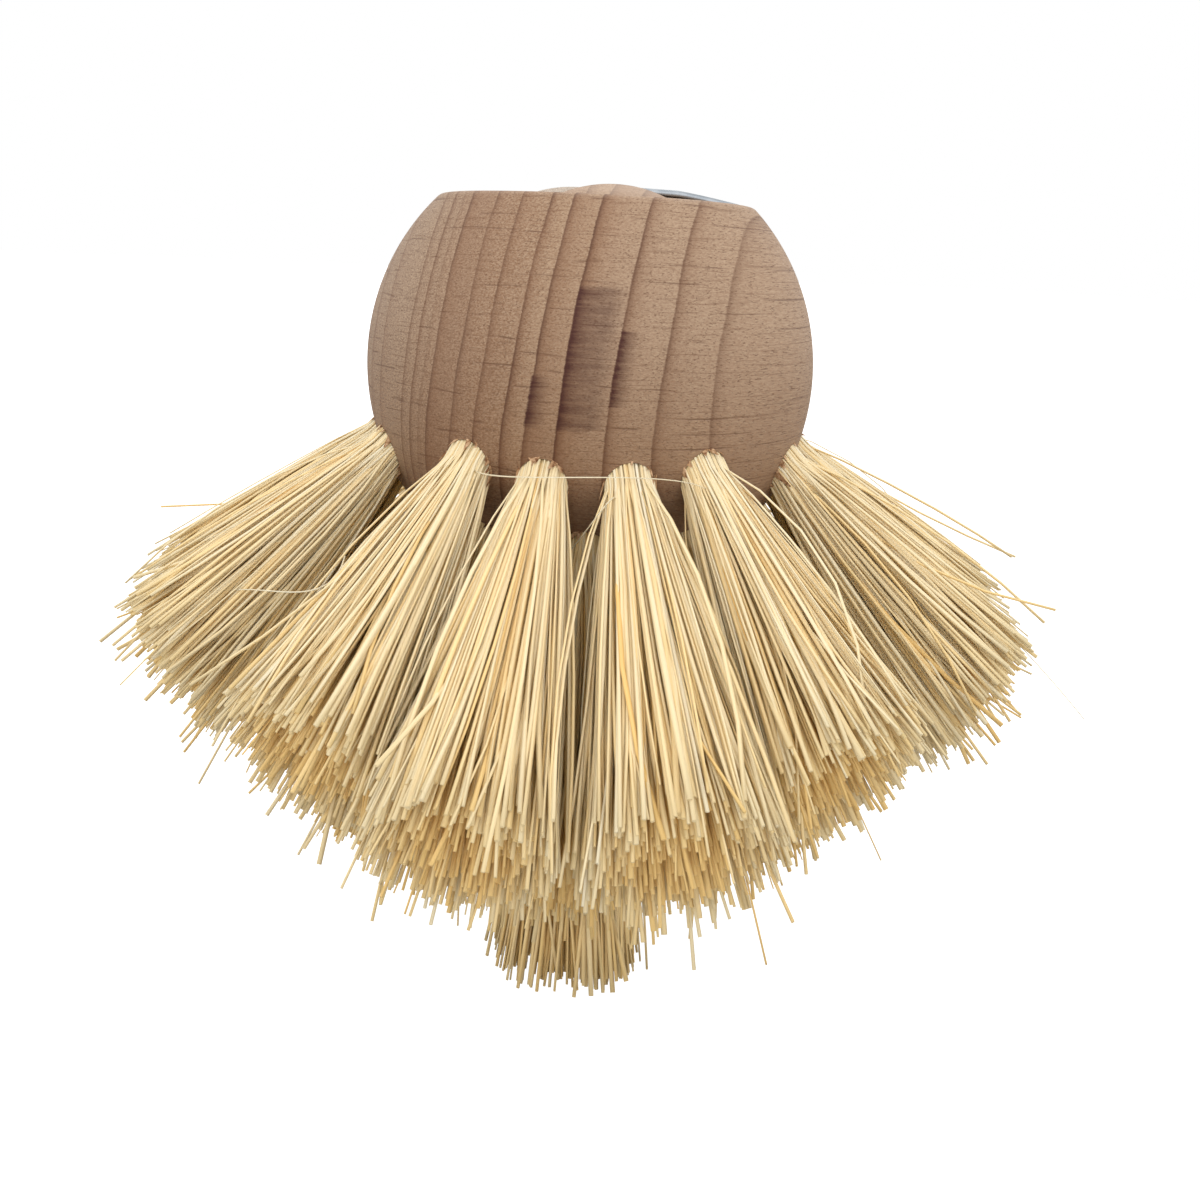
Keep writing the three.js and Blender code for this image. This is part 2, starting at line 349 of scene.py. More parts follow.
TREE_AXIS = np.array([-0.696, -0.487, 0.528])  # along the trunk that the ball was cut from
TREE_POINT = np.array([-24.9, 31.7, -3.7])  # a point of the pith, from the ball's centre
RING_RADIUS = 45.0  # mean distance of the ball's face from the pith
LINE_FADE = 0.2  # of the thin dark line itself
# Growth lines: distance from the pith, darkness, and how far the reddish band behind the line reaches
GROWTH_LINES = (
    (20.4, 0.6, 1.0), (23.8, 0.7, 0.8), (26.8, 0.5, 0.6), (29.4, 0.4, 0.9), (33.8, 0.6, 0.3),
    (35.2, 0.75, 0.4), (36.4, 0.3, 1.0), (37.5, 0.8, 2.6), (40.3, 0.75, 1.1), (42.8, 0.75, 0.9),
    (45.5, 0.95, 0.6), (47.4, 1.0, 1.3), (49.7, 1.2, 1.1), (53.2, 0.95, 0.7), (56.3, 0.75, 0.7),
    (59.4, 0.5, 0.5),
)
STAIN_PLACE = np.array([-9.4, -19.9, 4.0])  # heart stain on the ball, from its centre
# Stained strips: distances from the pith where they start and end, their middle's height, half their height
STAINS = ((49.7, 53.3, -0.9, 6.4), (53.2, 54.6, -1.6, 3.4), (47.3, 48.9, -4.7, 2.4))
STAIN_FADE = 0.45  # of the darker edge where a strip starts
STAIN_REACH = 16.0  # half the width of the stain across the ball
# Rays: count to a millimetre of height, half width in steps, sway, limits of the noise that shows them,
# then for the sway and for that noise: scale by height, scale by distance from the pith, and an offset
RAYS = (0.8, 0.075, 1.8, (0.5, 0.62), (0.5, 0.06, 2.0), (0.9, 0.26, 3.0))
FINE_RAYS = (2.3, 0.16, 2.0, (0.45, 0.58), (1.3, 0.15, 5.0), (2.0, 0.35, 9.0))
# Colour of the bare wood by distance from the pith
ZONE_START, ZONE_SPAN = 30, 33
ZONES = (
    (0.05, (0.245, 0.157, 0.1)), (0.22, (0.235, 0.137, 0.08)), (0.4, (0.215, 0.111, 0.056)),
    (0.55, (0.275, 0.162, 0.091)), (0.7, (0.295, 0.184, 0.114)), (0.86, (0.315, 0.2, 0.126)),
    (1.0, (0.33, 0.207, 0.13)),
)
PALE_GRAIN = (0.48, 0.342, 0.23)
FINE_RAY_BROWN = (0.16, 0.08, 0.042)
RAY_BROWN = (0.1, 0.043, 0.022)
PORE_BROWN = (0.13, 0.062, 0.032)
BAND_RED = (0.19, 0.08, 0.034)
LINE_BROWN = (0.075, 0.028, 0.014)
STAIN_BROWN = (0.06, 0.016, 0.01)
PAINTED_LOW_SHADE = (0.62, 0.49, 0.37)  # painted shade, which multiplies the lower half of the ball
# painted light: the top of the head and its crown, made paler where they face up to the light
PAINTED_CROWN_LIGHT = (0.6, 0.47, 0.37)
PAINTED_WALL_LIGHT = (0.82, 0.7, 0.58)  # painted light on the crown behind the groove, its wall and its top, which lie in the groove's shade


def growth(reach):
    """Thin dark growth lines, and the reddish bands that fade out behind them."""
    lines = bands = None
    for radius, dark, fade in GROWTH_LINES:
        past = reach - radius
        start = past.between(-0.06, 0.05) * dark
        line = start * past.fading(LINE_FADE)
        band = start * past.fading(fade)
        lines = line if lines is None else lines.most(line)
        bands = band if bands is None else bands.most(band)
    return lines, bands


def level_rays(wood, level, reach, settings):
    """Short dark lines, each at one height, that come and go along it."""
    count, width, sway, limits, drift, gate = settings
    shift, shown = (wood.noise(wood.joined(level * up, reach * out, own), 1.0, 2)
                    for up, out, own in (drift, gate))
    return wood.stripes(level * count + shift * sway, width) * shown.between(*limits)


def stained(wood, place, reach, streaks):
    """Strength of the stain: strips that start dark at a growth line, in an oval with a broken outline."""
    spot = wood.vector("SUBTRACT", place, tuple(BALL + STAIN_PLACE))
    height = wood.vector("DOT_PRODUCT", spot, (0.1, 0.15, 1.0))
    near = wood.vector("DOT_PRODUCT", spot, (0.9, -0.42, 0.0)) * (1 / STAIN_REACH)
    stain = None
    for first, last, middle, tall in STAINS:
        off = (height - middle) * (1 / tall)
        past = reach - first
        edge = past.fading(STAIN_FADE) * 0.8 + 0.6
        patch = past.between(-0.08, 0.06) * (last - reach).between(0.0, 1.2) * edge
        patch = patch * ((1 - off * off - near * near + (streaks - 0.5) * 0.7) * 5.0).clamped()
        stain = patch if stain is None else stain.most(patch)
    return stain * (streaks.between(0.35, 0.62) * 0.45 + 0.5)


def beech():
    """Bare turned beech: growth lines round the pith, thin level rays, pores, a stain, painted light on the
    top and painted shade on the lower half.
    """
    wood = Finish("turned_beech", Specular_IOR_Level=0.25)
    axis = TREE_AXIS / np.linalg.norm(TREE_AXIS)
    east = np.cross((0, 0, 1), axis)
    east /= np.linalg.norm(east)
    north = np.cross(axis, east)
    place = wood.place()
    apart = wood.vector("SUBTRACT", place, tuple(BALL + TREE_POINT))
    along = wood.vector("DOT_PRODUCT", apart, tuple(axis))
    x = wood.vector("DOT_PRODUCT", apart, tuple(east))
    y = wood.vector("DOT_PRODUCT", apart, tuple(north))
    turn = y.math("ARCTAN2", x) * RING_RADIUS
    wander = (wood.noise(place, 0.11, 1) - 0.5) * 0.7 + (wood.noise(place, 2.5, 3, 0.7) - 0.5) * 0.2
    reach = (x * x + y * y) ** 0.5 + wander

    level = wood.vector("DOT_PRODUCT", place, (0, 0, 1))
    lines, bands = growth(reach)
    patchy = wood.noise(wood.joined(reach * 0.3, along * 0.1, turn * 0.12), 1.0, 2)
    lines = lines * (patchy * 1.4 + 0.3)
    rays = level_rays(wood, level, reach, RAYS)
    fine_rays = level_rays(wood, level, reach, FINE_RAYS)
    pores = wood.noise(wood.joined(level * 9.0, reach * 5.0, turn * 2.0), 1.0, 1).between(0.58, 0.72)
    grit = wood.noise(wood.joined(level * 7.5, reach * 4.5, turn * 2.0), 1.0, 3, 0.65)
    streaks = wood.noise(wood.joined(level * 3.0, reach * 0.3, turn * 0.1), 1.0, 3, 0.6)
    shift = wood.noise(wood.joined(reach * 0.4, 7.0, along * 0.03), 1.0, 2)
    raised = level.between(TOP_Z - 0.5, TOP_Z + 0.8)
    far_side = wood.vector("DOT_PRODUCT", place, (0, 1, 0)).between(3.5, 4.4)

    colour = wood.ramp(reach * (1 / ZONE_SPAN) - ZONE_START / ZONE_SPAN + (shift - 0.5) * 0.3, ZONES)
    colour = wood.mixed(grit.between(0.34, 0.72) * 0.8, colour, PALE_GRAIN)
    colour = wood.mixed(fine_rays * 0.5, colour, FINE_RAY_BROWN)
    colour = wood.mixed(rays * 0.75, colour, RAY_BROWN)
    colour = wood.mixed(pores * 0.6, colour, PORE_BROWN)
    colour = wood.mixed(bands * 0.68, colour, BAND_RED)
    colour = wood.mixed(lines * 0.8, colour, LINE_BROWN)
    colour = wood.mixed(stained(wood, place, reach, streaks), colour, STAIN_BROWN)
    # painted shade: the lower half of the ball darkens towards the bottom
    colour = wood.mixed(level.between(BALL_Z + 6, BALL_Z - 10) * 0.5, colour, PAINTED_LOW_SHADE, "MULTIPLY")
    # painted light: the top and the crown, then the far crown's wall and top behind the groove, made paler
    colour = wood.mixed(raised * 0.4, colour, PAINTED_CROWN_LIGHT)
    colour = wood.mixed(raised * far_side * 0.75, colour, PAINTED_WALL_LIGHT)

    wood.feed(wood.shader, {"Base Color": colour, "Roughness": 0.5 + grit * 0.2})
    wood.relief(grit * 0.6 - lines * 0.25 - rays * 0.4 - pores * 0.5, 0.04)
    return wood.material


def fibre():
    """Plant fibre: each strand has its own straw tone, with long streaks, and painted shade at the roots and
    the cut ends.
    """
    straw = Finish("plant_fibre", Specular_IOR_Level=0.35)
    uv = straw.node("ShaderNodeUVMap", {"uv_map": "OFBake"}).outputs["UV"]
    split = straw.node("ShaderNodeSeparateXYZ", None, {"Vector": uv})
    across, along = Wire(straw, split.outputs["X"]), Wire(straw, split.outputs["Y"])
    tone = Wire(straw, straw.node("ShaderNodeAttribute", {"attribute_name": "tone"}).outputs["Fac"])
    streak = straw.noise(straw.joined(across * FIBRES * 3.0, along * 2.2, tone * 40), 1.0, 3, 0.6)
    mottle = straw.noise(straw.joined(across * FIBRES * 0.8, along * 9.0, tone * 90), 1.0, 2)
    shade = (tone + (streak - 0.5) * 0.5).clamped()
    colour = straw.ramp(shade, (
        (0.0, (0.82, 0.53, 0.19)), (0.2, (0.84, 0.58, 0.24)), (0.4, (0.855, 0.64, 0.32)),
        (0.65, (0.83, 0.68, 0.415)), (0.85, (0.85, 0.74, 0.51)), (1.0, (0.875, 0.795, 0.605))))
    colour = straw.mixed(mottle.between(0.62, 0.8) * 0.3, colour, (0.60, 0.50, 0.20))
    # painted shade at the roots, down in the holes
    colour = straw.mixed(along.between(0.3, 0.05) * 0.25, colour, (0.55, 0.38, 0.17))
    # painted shade towards the cut ends, on the underside of the brush
    colour = straw.mixed(along.between(0.6, 0.98) * 0.25, colour, (0.68, 0.5, 0.2))
    straw.feed(straw.shader, {"Base Color": colour, "Roughness": 0.42 + streak * 0.25})
    straw.relief(streak, 0.03)
    return straw.material


def splinter():
    """Torn beech at the rim of a hole: orange tan, with darker and paler patches."""
    torn = Finish("torn_beech", Roughness=0.75, Specular_IOR_Level=0.2)
    grain = torn.noise(torn.place(), 2.5, 2)
    torn.feed(torn.shader, {"Base Color": torn.ramp(grain, (
        (0.35, (0.20, 0.09, 0.04)), (0.5, (0.44, 0.26, 0.135)), (0.68, (0.64, 0.43, 0.27))))})
    return torn.material


def steel(name, dark, light, rough):
    """Drawn or rolled steel: fine lines along X, and a faint cloud of handling marks."""
    metal = Finish(name, Metallic=1.0)
    place = metal.place()
    drawn = metal.noise(metal.vector("MULTIPLY", place, (0.35, 14.0, 14.0)), 1.0, 3)
    cloud = metal.noise(place, 0.4, 3)
    colour = metal.mixed(cloud.between(0.3, 0.7), dark, light)
    metal.feed(metal.shader, {"Base Color": colour, "Roughness": rough + cloud * 0.16 + drawn * 0.1})
    metal.relief(drawn, 0.008)
    return metal.material


# Head block


def head_profile():
    """The ball's outline from its lowest point: a long arc, the rounded rim, the flat top, the crown."""
    round_height = TOP_HEIGHT - RIM_ROUND
    round_radius = math.sqrt((BALL_RADIUS - RIM_ROUND) ** 2 - round_height ** 2)
    tangent = math.atan2(round_height, round_radius)
    crown_arc = (CROWN_RADIUS ** 2 + CROWN_RISE ** 2) / (2 * CROWN_RISE)
    crown_angle = math.asin(CROWN_RADIUS / crown_arc)
    upright = math.pi / 2
    profile = np.concatenate([
        arc(BALL_RADIUS, (0, 0), -upright + 0.01, tangent, 110),
        arc(RIM_ROUND, (round_radius, round_height), tangent, upright, 10)[1:],
        arc(crown_arc, (0, TOP_HEIGHT + CROWN_RISE - crown_arc), upright - crown_angle, upright - 0.01, 14),
    ])
    return profile + (0, BALL_Z)


def head_block(finish, tufts):
    points, faces = turned(head_profile(), 200)
    block = fill("head", points, faces, finish)
    half = GROOVE_WIDTH / 2
    above = TOP_Z + BALL_RADIUS
    ledge = TAIL_TOP - STRIP - CLEAR
    hole, hole_faces = turned([(HOLE_RADIUS, -HOLE_DEPTH), (HOLE_RADIUS, 2 * HOLE_RADIUS)], 40)
    drills = together([(tuft["mouth"] + hole @ tuft["rows"], hole_faces) for tuft in tufts])
    carved(block, [
        drills,
        box((END_WALL, -half, TOP_Z - GROOVE_DEPTH), (2 * BALL_RADIUS, half, above)),
        box((TAIL_END - CLEAR, -half, ledge), (END_WALL + CLEAR, half, above)),
    ])
    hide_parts("head_block")
    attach(block, "head")


# Tufts

FIBRES = 600  # strands in a tuft, each one half of a folded fibre
LOOSE_SPREAD = 1.2  # how far loose ends stand outside the tip radius
SIDES = 5
STRAY_SHARE = 0.08
GOLDEN_TURN = math.pi * (3 - math.sqrt(5))
PACKING = 0.4  # power of the sunflower pattern: a low one crowds strands towards the edge
ROOT_GAP = 0.08  # between the outermost strands' paths and the wall of the hole
CLUMPS, CLUMP_PULL = 18, 0.16  # places that the cut ends gather towards, and how far they go
END_JITTER, STRAY_SPREAD = 0.5, 2.0
BOW, STRAY_BOW = 0.42, 1.2
TURN_JITTER, TWIST = 0.3, 0.4
FLARE = (0.86, 0.14)  # straight and curved shares of the way from the root's place to the end's
BESIDE = (0.45, 0.8)  # how far strands pass to either side of the staple
SLANT = 1.6  # how much longer the strands on the underside of a tuft are
LENGTH_SPREAD = 0.75
LENGTH_SHIFT, SHORT_ENDS = 0.6, 0.5
STRAY_LENGTHS = (-2, 4)
FLATNESS = (0.5, 0.9)  # the thin half width as a share of the wide one
TONE_SPREAD = 0.1
HALF_WIDTH, HALF_WIDTH_SPREAD, HALF_WIDTH_LEAST, HALF_WIDTH_MOST = 0.162, 0.045, 0.08, 0.27
FLOOR_GAP = 0.3  # least height of a strand's path
TONES = {"outer": 0.72, "middle": 0.5, "inner": 0.46}  # tone of the outermost strands, dark to pale; the middle ring's is set darker as painted shade under the outer ring
INNER_PAINTED_SHADE = 1.1  # painted shade: how much deeper in colour a strand is in the middle of its bundle, for the warm shade in the gaps
FREE_RINGS = np.array([0.16, 0.36, 0.58, 0.8, 1.0])
RING_WIDTHS = np.array([0.7, 0.74, 0.8, 0.8, 0.88, 0.95, 1.0, 1.0, 1.0])
STRAIGHT = (-1.3, 0.4)  # where a bundle keeps its width, either side of the mouth


def slanted(outward, degrees):
    """A direction between straight down, at 0 degrees, and outward, at 90."""
    angle = math.radians(degrees)
    return outward * math.sin(angle) - np.array([0, 0, math.cos(angle)])


def tuft_list():
    """Each tuft's node names, the mouth of its hole, and the rows across, sideways and along of its frame."""
    quarter = list(OUTER_QUARTER)
    half = quarter + [(180 - azimuth, *rest) for azimuth, *rest in quarter[-2::-1]]
    outer = half + [(180 + azimuth, *rest) for azimuth, *rest in half]
    turns = [number * 360 / MIDDLE_COUNT for number in range(MIDDLE_COUNT)]
    middle = [(turn, MIDDLE_POLAR, MIDDLE_LENGTH + MIDDLE_EXTRA_LENGTH * math.cos(2 * math.radians(turn)))
              for turn in turns]
    inner = [(number * 360 / INNER_COUNT, INNER_POLAR, INNER_LENGTH) for number in range(INNER_COUNT)]
    rings = (("outer", OUTER_LEAN, outer), ("middle", MIDDLE_LEAN, middle), ("inner", INNER_LEAN, inner))
    tufts = []
    for ring, lean, places in rings:
        for number, (azimuth, polar, free) in enumerate(places, 1):
            turn = math.radians(RING_TURN + azimuth)
            outward = np.array([math.sin(turn), -math.cos(turn), 0.0])
            axis, across = slanted(outward, lean), slanted(outward, lean + 90)
            tufts.append({
                "ring": ring,
                "name": f"{ring}_tuft_{number:02d}",
                "mouth": BALL + BALL_RADIUS * slanted(outward, polar),
                "rows": np.stack([across, np.cross(axis, across), axis]),
                "free": free,
            })
    return tufts


def strands(name, paths, widths, spin, tone, finish):
    """Tubes along many paths at once. A ring of a tube is an oval across its path; both ends are closed.

    paths is strands by rings by 3, widths is strands by rings by 2 half widths, and spin turns the ovals.
    """
    count, rings, _ = paths.shape
    ahead = np.gradient(paths, axis=1)
    ahead /= np.linalg.norm(ahead, axis=2, keepdims=True)
    first = spin[:, None] - (spin[:, None] * ahead).sum(2, keepdims=True) * ahead
    first /= np.linalg.norm(first, axis=2, keepdims=True)
    second = np.cross(ahead, first)
    angle = np.arange(SIDES) * 2 * np.pi / SIDES
    oval = (widths[:, :, None, :1] * first[:, :, None] * np.cos(angle)[:, None]
            + widths[:, :, None, 1:] * second[:, :, None] * np.sin(angle)[:, None])
    points = (paths[:, :, None] + oval).reshape(-1, 3)

    step = rings * SIDES
    starts = np.arange(count) * step
    sides = (starts[:, None, None] + wrap(rings, SIDES)).reshape(-1, 4)
    root = starts[:, None] + np.arange(SIDES)[::-1]
    tip = starts[:, None] + step - SIDES + np.arange(SIDES)
    piece = fill(name, points, [sides, root, tip], finish)
    mesh = piece.data

    # In the map each strand has a strip of its own, and a thin slice below and above it for its two ends
    column = np.arange(SIDES)
    row = np.repeat(np.arange(rings - 1), SIDES)
    around = np.tile(column, rings - 1)
    u = np.stack([around, around + 1, around + 1, around], -1) / SIDES
    v = np.stack([row, row, row + 1, row + 1], -1) / (rings - 1)
    strip = np.stack([0.1 + 0.8 * u, 0.01 + 0.95 * v], -1)
    disc = 0.5 + 0.4 * np.stack([np.cos(angle), np.sin(angle)], -1)
    low = disc[::-1] * (1, 0.01)
    high = disc * (1, 0.02) + (0, 0.97)
    patches = [np.broadcast_to(p, (count, *p.shape)).copy() for p in (strip, low, high)]
    for patch in patches:
        patch[..., 0] = (patch[..., 0] + np.arange(count).reshape(-1, *[1] * (patch.ndim - 2))) / count
    layer = mesh.uv_layers.new(name="OFBake")
    flat = np.concatenate([p.reshape(-1, 2) for p in patches])
    layer.uv.foreach_set("vector", flat.astype(np.float32).ravel())
    mesh.attributes.new("tone", "FLOAT", "POINT").data.foreach_set(
        "value", np.repeat(tone, step).astype(np.float32))
    ends = np.arange(len(mesh.polygons)) >= len(sides)
    mesh.polygons.foreach_set("use_smooth", ~ends)
    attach(piece, "head")
    return piece


def tuft(made, rng, finish):
    """A bundle of strands: a sunflower pattern in the hole, spread out to a wider one at the cut ends.

    A strand starts in the fold under the staple, runs up one side of it, straight out of the hole, then
    flares, with a slight bow of its own. A few strays bend away from the bundle.
    """
    index = np.arange(FIBRES)
    angle = index * GOLDEN_TURN + rng.normal(0, TURN_JITTER, FIBRES)
    disc = (((index + 0.5) / FIBRES) ** PACKING)[:, None] * np.stack([np.cos(angle), np.sin(angle)], -1)
    root = disc * (HOLE_RADIUS - ROOT_GAP)
    tip = disc * LOOSE_SPREAD * TIP_RADIUS
    clumps = rng.uniform(-1, 1, (CLUMPS, 2)) * LOOSE_SPREAD * TIP_RADIUS
    nearest = np.linalg.norm(tip[:, None] - clumps, axis=2).argmin(1)
    tip += CLUMP_PULL * (clumps[nearest] - tip) + rng.normal(0, END_JITTER, (FIBRES, 2))
    stray = rng.random(FIBRES) < STRAY_SHARE
    tip += stray[:, None] * rng.normal(0, STRAY_SPREAD, (FIBRES, 2))
    bow = rng.normal(0, 1, (FIBRES, 2)) * np.where(stray, STRAY_BOW, BOW)[:, None]
    spread = rng.normal(LENGTH_SHIFT, LENGTH_SPREAD, FIBRES) - rng.exponential(SHORT_ENDS, FIBRES)
    spread += stray * rng.uniform(*STRAY_LENGTHS, FIBRES)
    rows = made["rows"]
    if made["ring"] == "inner":
        drop = made["mouth"][2] + tip @ rows[:2, 2]
        length = (drop - np.abs(spread)) / -rows[2, 2]
    else:
        length = made["free"] - SLANT * tip[:, 0] / TIP_RADIUS + spread

    side = np.where(root[:, 1:] < 0, -1.0, 1.0)
    fold = np.concatenate([root[:, :1] * 0.8, side * 0.1, np.full((FIBRES, 1), FOLD / 2 - HOLE_DEPTH)], 1)
    beside = np.concatenate([root[:, :1], side * (BESIDE[0] + BESIDE[1] * np.abs(root[:, 1:])),
                             np.full((FIBRES, 1), FOLD + WIRE - HOLE_DEPTH)], 1)
    mouth = [np.concatenate([root, np.full((FIBRES, 1), z)], 1)[:, None] for z in STRAIGHT]
    t = FREE_RINGS[:, None]
    flare = t * (FLARE[0] + FLARE[1] * t)
    sway = bow[:, None] * 4 * t * (1 - t)
    free = root[:, None] + (tip - root)[:, None] * flare + sway
    free = np.concatenate([free, (length[:, None] * FREE_RINGS)[:, :, None]], 2)
    paths = np.concatenate([fold[:, None], beside[:, None], *mouth, free], 1)
    paths = made["mouth"] + paths @ rows
    paths[:, :, 2] = np.maximum(paths[:, :, 2], FLOOR_GAP)

    wide = rng.normal(HALF_WIDTH, HALF_WIDTH_SPREAD, FIBRES)
    wide = np.clip(wide, HALF_WIDTH_LEAST, HALF_WIDTH_MOST)
    thin = wide * rng.uniform(*FLATNESS, FIBRES)
    widths = np.stack([wide, thin], -1)[:, None] * RING_WIDTHS[:, None]
    spin = np.stack([-np.sin(angle), np.cos(angle)], -1) @ rows[:2] + rng.normal(0, TWIST, (FIBRES, 3))
    depth = 1 - np.linalg.norm(disc, axis=1)
    # painted shade: strands deep in the bundle take a deeper tone
    tone = np.clip(rng.normal(TONES[made["ring"]], TONE_SPREAD, FIBRES) - INNER_PAINTED_SHADE * depth, 0, 1)
    piece = strands(made["name"] + "_fibres", paths, widths, spin, tone, finish)
    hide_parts(made["name"])


# Loose fibres: each follows four points, given as a tuft and a place across, sideways and along in its frame
LOOSE = (
    (("outer_tuft_13", 1.2, -1.7, 1.0), ("outer_tuft_14", 2.8, 0.0, 1.2),
     ("outer_tuft_01", 2.8, 0.0, 0.8), ("outer_tuft_02", 1.7, 1.6, 2.4)),
    (("outer_tuft_01", 1.4, 1.8, 2.0), ("outer_tuft_01", 1.6, 3.6, 4.0),
     ("middle_tuft_01", 3.6, 1.6, 1.6), ("middle_tuft_01", 3.2, 3.4, 2.2)),
    (("outer_tuft_12", 1.9, -0.6, -0.5), ("outer_tuft_12", 3.0, -0.8, 6.0),
     ("outer_tuft_12", 4.6, -0.9, 12.0), ("outer_tuft_12", 6.6, -1.0, 18.0)),
    (("outer_tuft_03", 1.8, 0.0, -0.5), ("outer_tuft_03", 4.4, 0.0, 11.0),
     ("outer_tuft_03", 6.2, 0.0, 23.0), ("outer_tuft_03", 6.6, -0.5, 36.0)),
    (("outer_tuft_13", 3.6, 4.0, 13.0), ("outer_tuft_13", 3.4, 6.5, 17.0),
     ("outer_tuft_12", 2.4, -5.0, 19.0), ("outer_tuft_12", 2.8, -1.0, 25.0)),
)
LOOSE_RINGS = 22
LOOSE_HALF_WIDTH = 0.07
LOOSE_TAPER = 0.6  # of the width, left at the free end
LOOSE_TONE = 0.95


def loose_fibres(tufts, finish):
    """Fine strands on cubic curves through four points, thinner towards their free ends."""
    named = {made["name"]: made for made in tufts}
    knots = np.array([[named[name]["mouth"] + np.array(place) @ named[name]["rows"] for name, *place in route]
                      for route in LOOSE])
    t = np.linspace(0, 3, LOOSE_RINGS)
    weights = np.stack([np.prod([(t - j) / (i - j) for j in range(4) if j != i], 0) for i in range(4)])
    paths = np.einsum("ks,nkd->nsd", weights, knots)
    taper = np.linspace(1, LOOSE_TAPER, LOOSE_RINGS)[:, None]
    widths = np.full((len(LOOSE), LOOSE_RINGS, 2), LOOSE_HALF_WIDTH) * taper
    spin = np.tile((0.3, 0.2, 1.0), (len(LOOSE), 1))
    strands("loose_fibres", paths, widths, spin, np.full(len(LOOSE), LOOSE_TONE), finish)


# Splinters round the holes

SPLINTERS = 14  # round each hole
SPLINTER_WIDE = (0.12, 0.42)  # half widths
SPLINTER_THICK = (0.05, 0.13)
SPLINTER_ROOT = 0.5  # below the ball's surface
SPLINTER_LENGTH, SPLINTER_EXTRA = 0.35, 0.4
SPLINTER_EDGE = 0.2  # width of the far edge, as a share of the root's


def splinters(tufts, finish):
    """Wedges of torn wood on the rims of the holes.

    A wedge stands where the hole's wall meets the ball, leans along the tuft, and narrows from four corners
    below the surface to a short edge.
    """
    rng = np.random.default_rng(7)
    rows = np.repeat(np.stack([made["rows"] for made in tufts]), SPLINTERS, 0)
    mouth = np.repeat(np.stack([made["mouth"] for made in tufts]), SPLINTERS, 0) - BALL
    count = len(rows)
    angle = rng.uniform(0, 2 * np.pi, count)
    radial = np.cos(angle)[:, None] * rows[:, 0] + np.sin(angle)[:, None] * rows[:, 1]
    start = mouth + (HOLE_RADIUS + 0.08) * radial
    axis = rows[:, 2]
    forward = (start * axis).sum(1)
    climb = np.sqrt(forward ** 2 - (start ** 2).sum(1) + BALL_RADIUS ** 2) - forward
    base = BALL + start + climb[:, None] * axis
    lean = rng.normal(0.1, 0.35, (count, 1))
    twist = rng.normal(0, 0.3, (count, 1))
    ahead = axis + lean * radial + twist * np.cross(axis, radial)
    ahead /= np.linalg.norm(ahead, axis=1, keepdims=True)
    across = np.cross(radial, ahead)
    across /= np.linalg.norm(across, axis=1, keepdims=True)
    through = np.cross(ahead, across)
    wide = rng.uniform(*SPLINTER_WIDE, (count, 1)) * across
    thick = rng.uniform(*SPLINTER_THICK, (count, 1)) * through
    low = base - SPLINTER_ROOT * ahead
    high = base + (SPLINTER_LENGTH + rng.exponential(SPLINTER_EXTRA, (count, 1))) * ahead
    points = np.stack([low - wide - thick, low + wide - thick, low + wide + thick, low - wide + thick,
                       high - SPLINTER_EDGE * wide, high + SPLINTER_EDGE * wide], 1).reshape(-1, 3)
    starts = 6 * np.arange(count)[:, None, None]
    quads = (starts + np.array([[0, 3, 2, 1], [0, 1, 5, 4], [2, 3, 4, 5]])).reshape(-1, 4)
    sides = (starts + np.array([[1, 2, 5], [3, 0, 4]])).reshape(-1, 3)
    piece = fill("hole_splinters", points, [quads, sides], finish, smooth=False)
    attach(piece, "head")


# Clip and nails


def clip(finish):
    """A strip carried along X: nailed flat at the tail, up a soft ramp, level, then turned down at the lip.

    Its section is a flat rounded oval, and its width follows a quarter circle in at each corner.
    """
    steps = 120
    x = np.linspace(TAIL_END, LIP_END, steps)
    ramp = np.clip((x - END_WALL - RAMP_START) / RAMP_RUN, 0, 1)
    lip = np.clip((x - LIP_END + LIP_RUN) / LIP_RUN, 0, 1)
    rise = (TAIL_DEPTH + STRIP_PROUD) * ramp * ramp * (3 - 2 * ramp)
    middle = TAIL_TOP - STRIP / 2 + rise - LIP_DROP * lip ** LIP_BEND
    inset = np.clip(CORNER - np.minimum(x - TAIL_END, LIP_END - x), 0, CORNER)
    half = GROOVE_WIDTH / 2 - CLEAR - CORNER + np.sqrt(CORNER ** 2 - inset ** 2)
    edge = STRIP / 2
    bend = np.linspace(-np.pi / 2, np.pi / 2, 7)
    side = half[:, None] - EDGE_ROUND * edge * (1 - np.cos(bend))
    y = np.concatenate([side, -side], 1)
    z = middle[:, None] + edge * np.concatenate([np.sin(bend), -np.sin(bend)])
    around = 2 * len(bend)
    points = np.stack([np.repeat(x[:, None], around, 1), y, z], -1).reshape(-1, 3)
    ends = [np.arange(around)[::-1][None], (steps - 1) * around + np.arange(around)[None]]
    strip = fill("clip_strip", points, [wrap(steps, around), *ends], finish)
    hole, hole_faces = turned([(NAIL_RADIUS + CLEAR, -2 * STRIP), (NAIL_RADIUS + CLEAR, 2 * STRIP)], 32)
    holes = [(hole + (NAIL_LINE, sign * NAIL_SPACING / 2, TAIL_TOP - edge), hole_faces) for sign in (-1, 1)]
    carved(strip, [together(holes)])
    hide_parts("spring_clip")
    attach(strip, "clip")


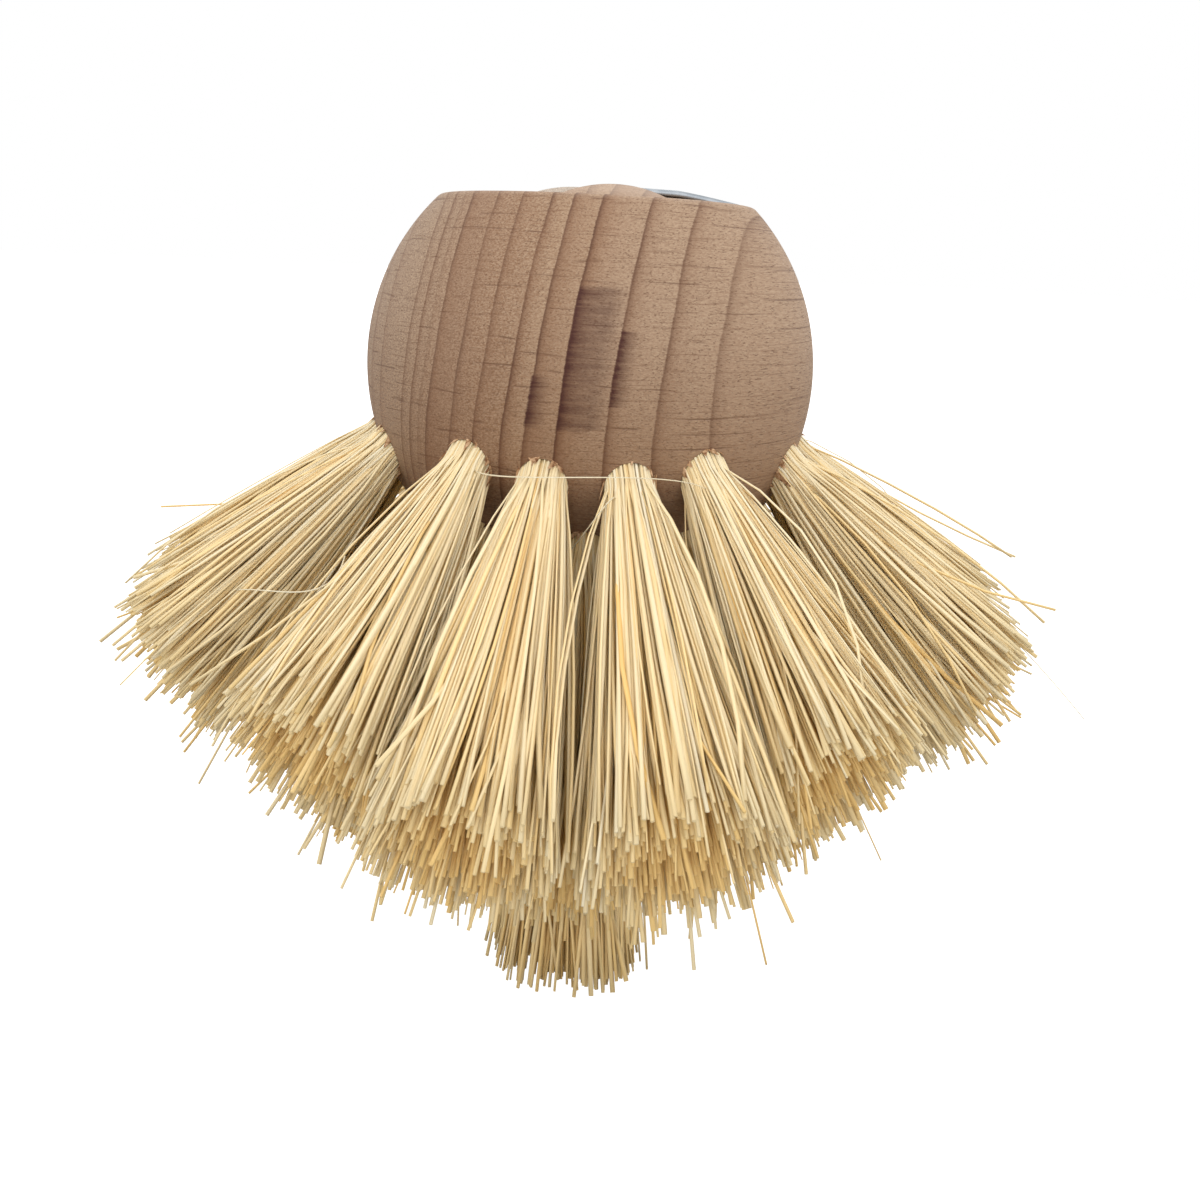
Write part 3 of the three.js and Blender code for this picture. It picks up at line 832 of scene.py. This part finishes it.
def nail(name, sign, finish):
    """A spun nail: a point, a shank, and a domed head that keeps the strip down."""
    low = TAIL_TOP + CLEAR
    bottom = low + NAIL_HEAD - NAIL_LENGTH
    dome = np.linspace(0, np.pi / 2, 8)
    rise = low + NAIL_RIM + (NAIL_HEAD - NAIL_RIM) * np.sin(dome)
    head = np.stack([NAIL_HEAD_RADIUS * np.cos(dome), rise], -1)
    head[-1, 0] = NAIL_TIP
    profile = np.concatenate([[(NAIL_TIP, bottom), (NAIL_RADIUS, bottom + NAIL_POINT), (NAIL_RADIUS, low),
                               (NAIL_HEAD_RADIUS, low)], head])
    points, faces = turned(profile, 32)
    piece = fill(name + "_turned", points + (NAIL_LINE, sign * NAIL_SPACING / 2, 0), faces, finish)
    piece.data.set_sharp_from_angle(angle=math.radians(40))
    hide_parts(name)
    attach(piece, "head")


# Floor and light

FLOOR_HALF = 4000.0
FILL_STRENGTH = 1.12
AIM = Vector((0, 0, 0.04))
# Area lights: name, place and size in metres, and watts
LIGHTS = (
    ("overhead", (-0.04, -0.10, 0.55), 0.5, 0.72),
    ("front", (-0.15, -0.58, 0.22), 0.6, 0.6),
    ("left", (-0.58, -0.06, 0.06), 0.4, 0.8),
    ("right", (0.33, -0.48, 0.06), 0.4, 0.4),
)


def stage():
    floor = fill("floor", np.array([[-1, -1, 0], [1, -1, 0], [1, 1, 0], [-1, 1, 0]]) * FLOOR_HALF,
                 [np.array([[0, 1, 2, 3]])], None)
    paper = Finish("white_paper", Base_Color=(0.45, 0.45, 0.45, 1), Roughness=0.9, Specular_IOR_Level=0.0,
                   Emission_Strength=1.0)
    seen = paper.node("ShaderNodeLightPath").outputs["Is Camera Ray"]
    paper.feed(paper.shader, {"Emission Color": seen})
    floor.data.materials[0] = paper.material
    for name, place, size, watts in LIGHTS:
        light = bpy.data.objects.new(name, bpy.data.lights.new(name, "AREA"))
        light.data.size = size
        light.data.energy = watts
        light.location = place
        aim = AIM - light.location
        light.rotation_euler = aim.to_track_quat("-Z", "Y").to_euler()
        bpy.context.scene.collection.objects.link(light)
    scene = bpy.context.scene
    world = bpy.data.worlds.new("studio")
    world.use_nodes = True
    nodes, links = world.node_tree.nodes, world.node_tree.links
    fill_light = nodes["Background"]
    fill_light.inputs["Color"].default_value = (1, 1, 1, 1)
    fill_light.inputs["Strength"].default_value = FILL_STRENGTH
    backdrop = nodes.new("ShaderNodeBackground")
    backdrop.inputs["Color"].default_value = (1, 1, 1, 1)
    mix = nodes.new("ShaderNodeMixShader")
    links.new(nodes.new("ShaderNodeLightPath").outputs["Is Camera Ray"], mix.inputs[0])
    links.new(fill_light.outputs[0], mix.inputs[1])
    links.new(backdrop.outputs[0], mix.inputs[2])
    links.new(mix.outputs[0], nodes["World Output"].inputs["Surface"])
    scene.world = world
    scene.view_settings.view_transform = "Standard"


place_camera()
tufts = tuft_list()
head_block(beech(), tufts)
straw = fibre()
for order, made in enumerate(tufts):
    tuft(made, np.random.default_rng(100 + order), straw)
loose_fibres(tufts, straw)
splinters(tufts, splinter())
clip(steel("spring_steel", (0.29, 0.32, 0.35), (0.45, 0.48, 0.51), 0.2))
bright = steel("bright_wire", (0.50, 0.51, 0.52), (0.62, 0.63, 0.64), 0.26)
nail("clip_nail_left", -1, bright)
nail("clip_nail_right", 1, bright)
for node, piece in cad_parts.items():
    if "_staple_" in node:
        piece.data.materials.clear()
        piece.data.materials.append(bright)
stage()
